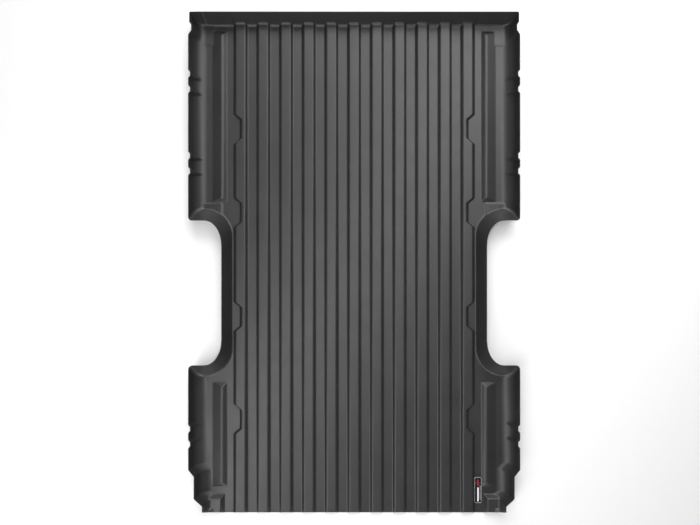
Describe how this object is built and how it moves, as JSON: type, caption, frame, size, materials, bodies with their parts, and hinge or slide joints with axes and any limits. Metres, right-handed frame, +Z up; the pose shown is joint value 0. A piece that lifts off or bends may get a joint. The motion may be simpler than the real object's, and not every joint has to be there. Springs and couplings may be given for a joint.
{
  "type": "truck bed liner",
  "caption": "Flexible moulded mat that lies in a pickup truck's cargo bed, with lengthwise ribs, raised edges and wheel arch cut-outs that protect the bed floor from loads.",
  "frame": {"origin": "centre of the footprint on the plane that the underside rests on", "axes": "+Z up out of the truck bed, +Y along the bed towards the cab, +X to the right when looking from the tailgate towards the cab"},
  "size_m": [1.616, 2.48, 0.1],
  "materials": {
    "liner_rubber": "satin",
    "adhesive_foam": "matte",
    "badge_black": "satin",
    "badge_grey": "satin",
    "badge_red": "gloss",
    "badge_white": "gloss"
  },
  "bodies": {
    "root": {"liner_moulding": "liner_rubber", "badge_adhesive_pad": "adhesive_foam", "badge_plate": "badge_black", "badge_trim_line": "badge_grey", "badge_lozenge": "badge_red", "badge_bar": "badge_white", "badge_pinstripe": "badge_grey"}
  },
  "joints": []
}
